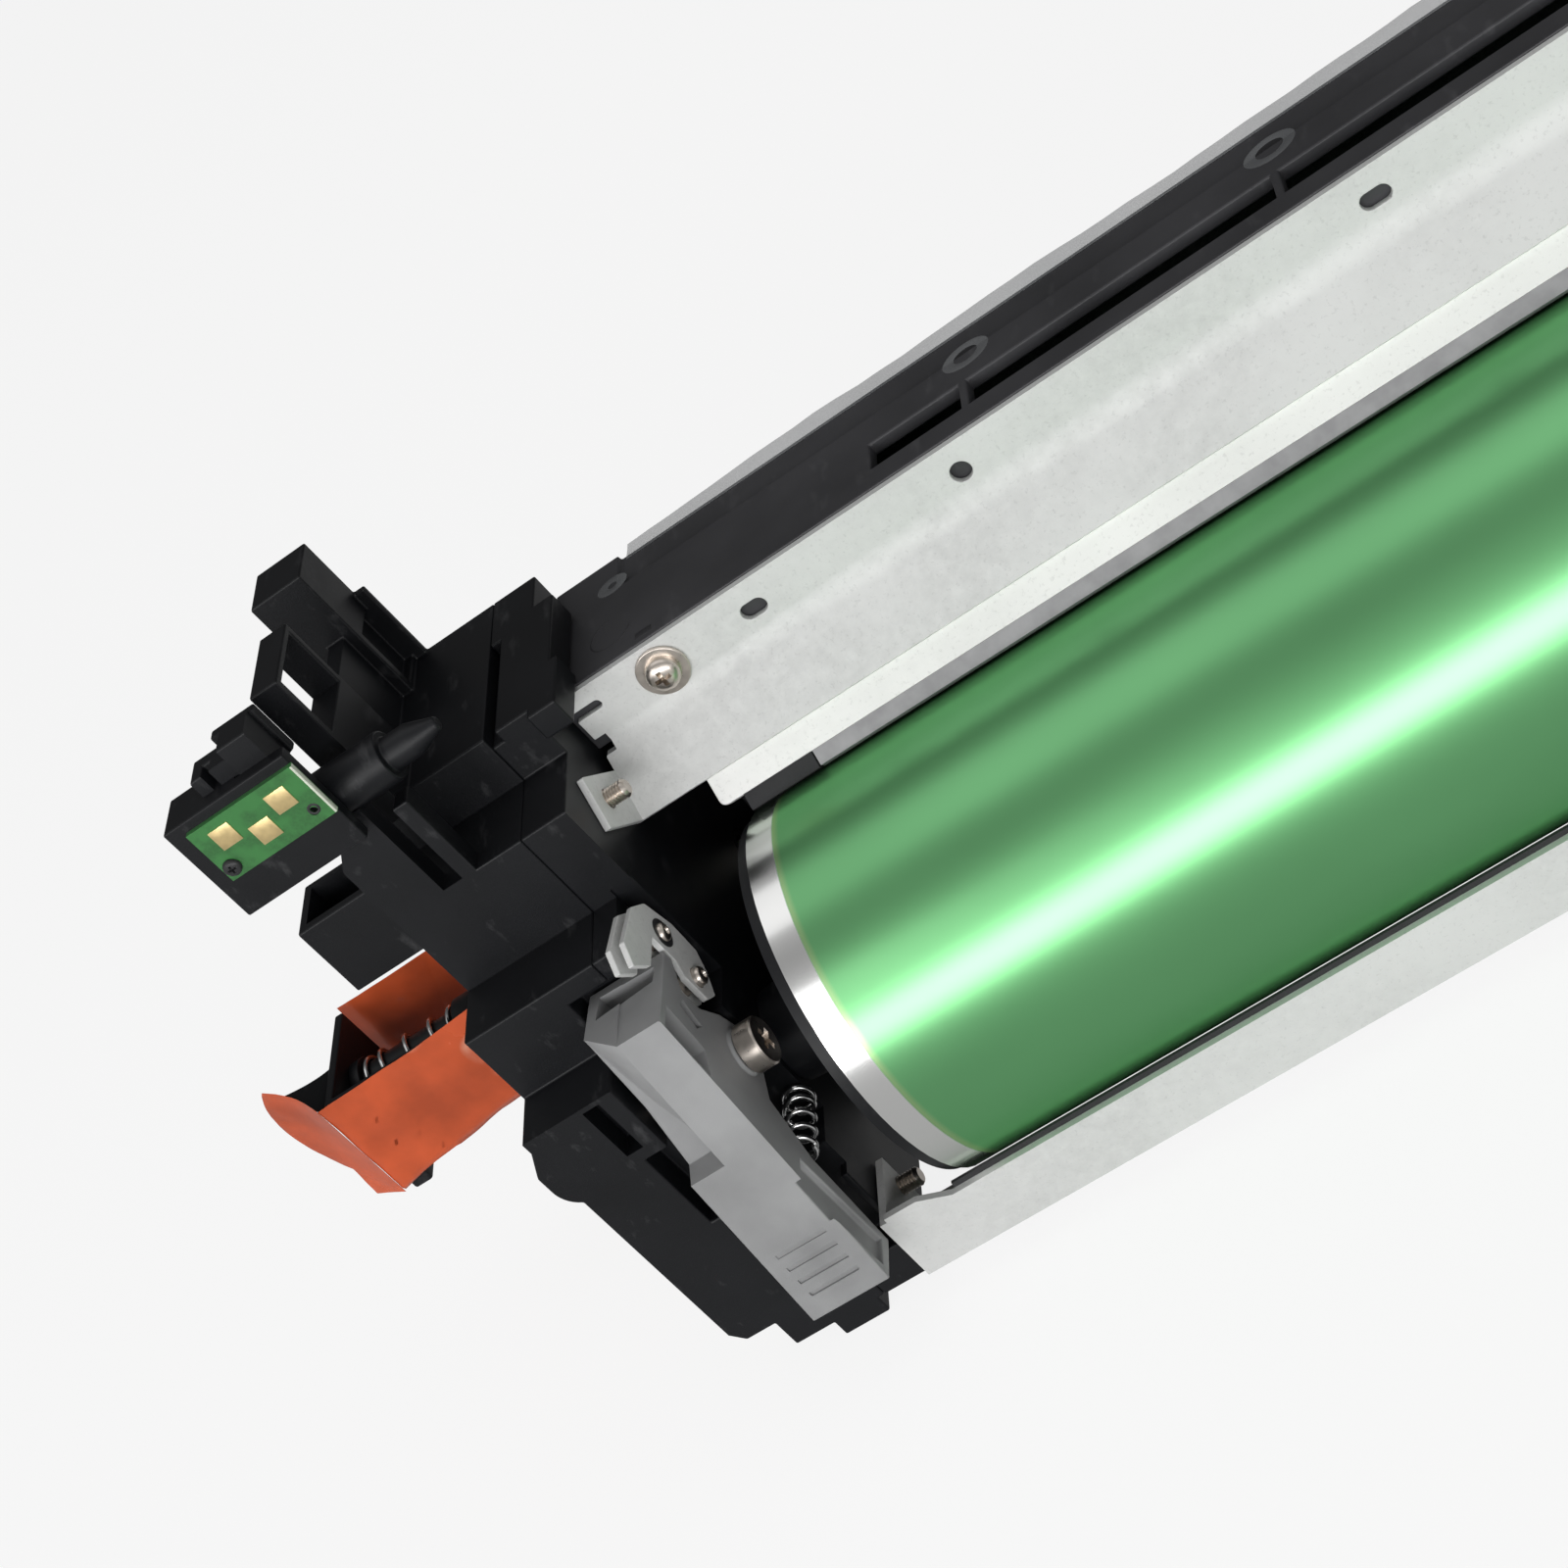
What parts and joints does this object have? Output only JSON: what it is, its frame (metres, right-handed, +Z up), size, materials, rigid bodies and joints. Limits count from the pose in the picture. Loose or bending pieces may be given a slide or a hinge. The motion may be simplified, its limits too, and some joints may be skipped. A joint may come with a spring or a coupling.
{
  "type": "printer drum unit",
  "caption": "Long drum unit for a large printer, with a coated drum, a blade under a folded bracket, an end frame with a release lever and a sprung waste outlet.",
  "frame": {"origin": "on the drum's axis, at the front edge of the coated length", "axes": "+X along the drum towards the driven end, -Y towards the lever's side, +Z up"},
  "size_m": [0.51, 0.0861, 0.1249],
  "materials": {
    "drum_coating": "bright green, glossy",
    "black_moulding": "fine matt grain",
    "zinc_sheet": "zinc plated, satin",
    "bright_sheet": "bright satin",
    "blade_rubber": "grey, smooth",
    "seal_foam": "dense foam",
    "lever_moulding": "medium grey",
    "screw_metal": "nickel plated",
    "spring_steel": "bright drawn wire",
    "board_green": "solder mask",
    "contact_gold": "gold plated",
    "outlet_tape": "orange clear tape",
    "clear_film": "clear film",
    "roller_rubber": "smooth",
    "shaft_steel": "ground",
    "gear_moulding": "natural white",
    "bearing_moulding": "smooth"
  },
  "bodies": {
    "frame": {"drum_bearing_front": "bearing_moulding", "drum_bearing_rear": "bearing_moulding", "front_side_plate": "black_moulding", "front_cover": "black_moulding", "rear_side_plate": "black_moulding", "rear_cover": "black_moulding", "cleaner_housing": "black_moulding", "top_film": "clear_film", "bracket_stay": "zinc_sheet", "stay_washers": "screw_metal", "stay_screws": "screw_metal", "tab_screw": "screw_metal", "blade_holder": "bright_sheet", "cleaning_blade": "blade_rubber", "blade_end_seals": "seal_foam", "lower_stay": "zinc_sheet", "lower_stay_screw": "screw_metal", "lower_seal": "seal_foam", "latch_plate_inner": "zinc_sheet", "latch_plate_outer": "zinc_sheet", "latch_screw": "screw_metal", "latch_pin": "screw_metal", "lever_pivot_screw": "screw_metal", "lever_spring": "spring_steel", "chip_holder": "black_moulding", "chip_board": "board_green", "chip_contacts": "contact_gold", "chip_screw": "screw_metal", "outlet_tray": "black_moulding", "outlet_pipe": "black_moulding", "shutter_spring": "spring_steel", "outlet_film": "outlet_tape", "charge_bearing_front": "bearing_moulding", "charge_bearing_rear": "bearing_moulding"},
    "drum": {"drum_tube": "drum_coating", "drum_flange_front": "black_moulding", "drum_flange_rear": "black_moulding"},
    "charge_roller": {"charge_roller": "roller_rubber", "charge_roller_shaft": "shaft_steel"},
    "charge_cleaner": {"charge_cleaner": "roller_rubber"},
    "auger": {"waste_auger": "gear_moulding", "auger_gear": "gear_moulding"},
    "lever": {"release_lever": "lever_moulding"},
    "shutter": {"outlet_shutter": "black_moulding"}
  },
  "joints": [
    {"name": "drum_spin", "type": "hinge", "parent": "frame", "child": "drum", "pos_m": [0, 0, 0], "axis": [1, 0, 0], "continuous": true},
    {"name": "charge_spin", "type": "hinge", "parent": "frame", "child": "charge_roller", "pos_m": [0, 0.02961, -0.02065], "axis": [1, 0, 0], "continuous": true},
    {"name": "cleaner_spin", "type": "hinge", "parent": "frame", "child": "charge_cleaner", "pos_m": [0, 0.03878, -0.02489], "axis": [1, 0, 0], "continuous": true},
    {"name": "auger_spin", "type": "hinge", "parent": "frame", "child": "auger", "pos_m": [0, 0.0367, 0.008], "axis": [1, 0, 0], "continuous": true},
    {"name": "lever_pivot", "type": "hinge", "parent": "frame", "child": "lever", "pos_m": [-0.027, -0.0141, 0.0108], "axis": [1, 0, 0], "range_deg": [0, 6], "stiffness_Nm_per_rad": 0.3, "springref_deg": -5.73, "deforming": ["lever_spring"]},
    {"name": "shutter_slide", "type": "slide", "parent": "frame", "child": "shutter", "axis": [-1, 0, 0], "range_m": [0, 0.012], "stiffness_N_per_m": 120, "springref_m": -0.004, "deforming": ["shutter_spring"]}
  ],
  "couplings": [
    {"joint": "auger_spin", "follows": "drum_spin", "ratio": -2.9474},
    {"joint": "charge_spin", "follows": "drum_spin", "ratio": -5.1724},
    {"joint": "cleaner_spin", "follows": "drum_spin", "ratio": 7.5}
  ]
}
